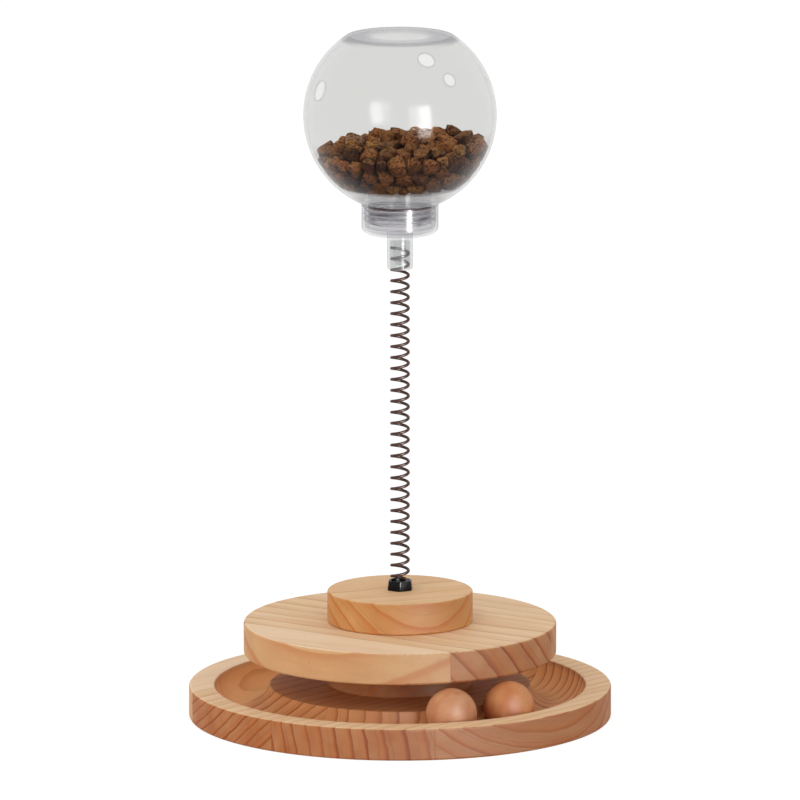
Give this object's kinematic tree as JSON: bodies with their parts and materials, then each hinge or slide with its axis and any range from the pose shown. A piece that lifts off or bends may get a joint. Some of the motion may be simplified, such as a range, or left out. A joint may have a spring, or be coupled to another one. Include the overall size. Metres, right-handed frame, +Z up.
{
  "type": "cat treat ball",
  "caption": "Clear treat globe on a coil spring, standing on stacked wooden discs over a round base with a track for wooden balls.",
  "frame": {"origin": "centre of the base board's underside", "axes": "+Z up the spring, -Y towards the front, +X to the right seen from the front"},
  "size_m": [0.25, 0.25, 0.4084],
  "materials": {
    "pine": "sanded pine with a thin matt oil",
    "beech": "polished beech",
    "steel": "zinc plated",
    "black_plastic": "moulded, half gloss",
    "spring_coating": "bronze-brown coating on steel wire",
    "clear_plastic": "clear, glossy",
    "kibble": "dry and rough"
  },
  "bodies": {
    "base": {"track_base": "pine", "spacer_disc": "pine", "upper_disc": "pine", "top_disc": "pine", "base_screws": "steel", "deck_screws": "steel", "dowel_pins": "beech", "spring_seat": "black_plastic", "seat_washer": "steel", "seat_screw": "steel"},
    "ball_one": {"ball_one": "beech"},
    "ball_two": {"ball_two": "beech"},
    "spring": {"spring": "spring_coating"},
    "feeder": {"stem": "clear_plastic", "spring_plug": "clear_plastic", "screw_cap": "clear_plastic"},
    "globe": {"treat_globe": "clear_plastic", "treat_floor": "clear_plastic", "kibble": "kibble"}
  },
  "joints": [
    {"name": "ball_one_orbit", "type": "hinge", "parent": "base", "child": "ball_one", "pos_m": [0, 0, 0.0203], "axis": [0, 0, 1], "range_deg": [-316, 2]},
    {"name": "ball_two_orbit", "type": "hinge", "parent": "base", "child": "ball_two", "pos_m": [0, 0, 0.0203], "axis": [0, 0, 1], "range_deg": [-2, 316]},
    {"name": "sway_side", "type": "hinge", "parent": "base", "child": "spring", "pos_m": [0, 0, 0.13], "axis": [0, 1, 0], "range_deg": [-40, 40], "stiffness_Nm_per_rad": 1.2, "deforming": ["spring"]},
    {"name": "sway_fore", "type": "hinge", "parent": "spring", "child": "feeder", "pos_m": [0, 0, 0.218], "axis": [1, 0, 0], "range_deg": [-40, 40], "stiffness_Nm_per_rad": 1, "deforming": ["spring"]},
    {"name": "globe_lift", "type": "slide", "parent": "feeder", "child": "globe", "axis": [0, 0, 1], "range_m": [0, 0.04]}
  ]
}
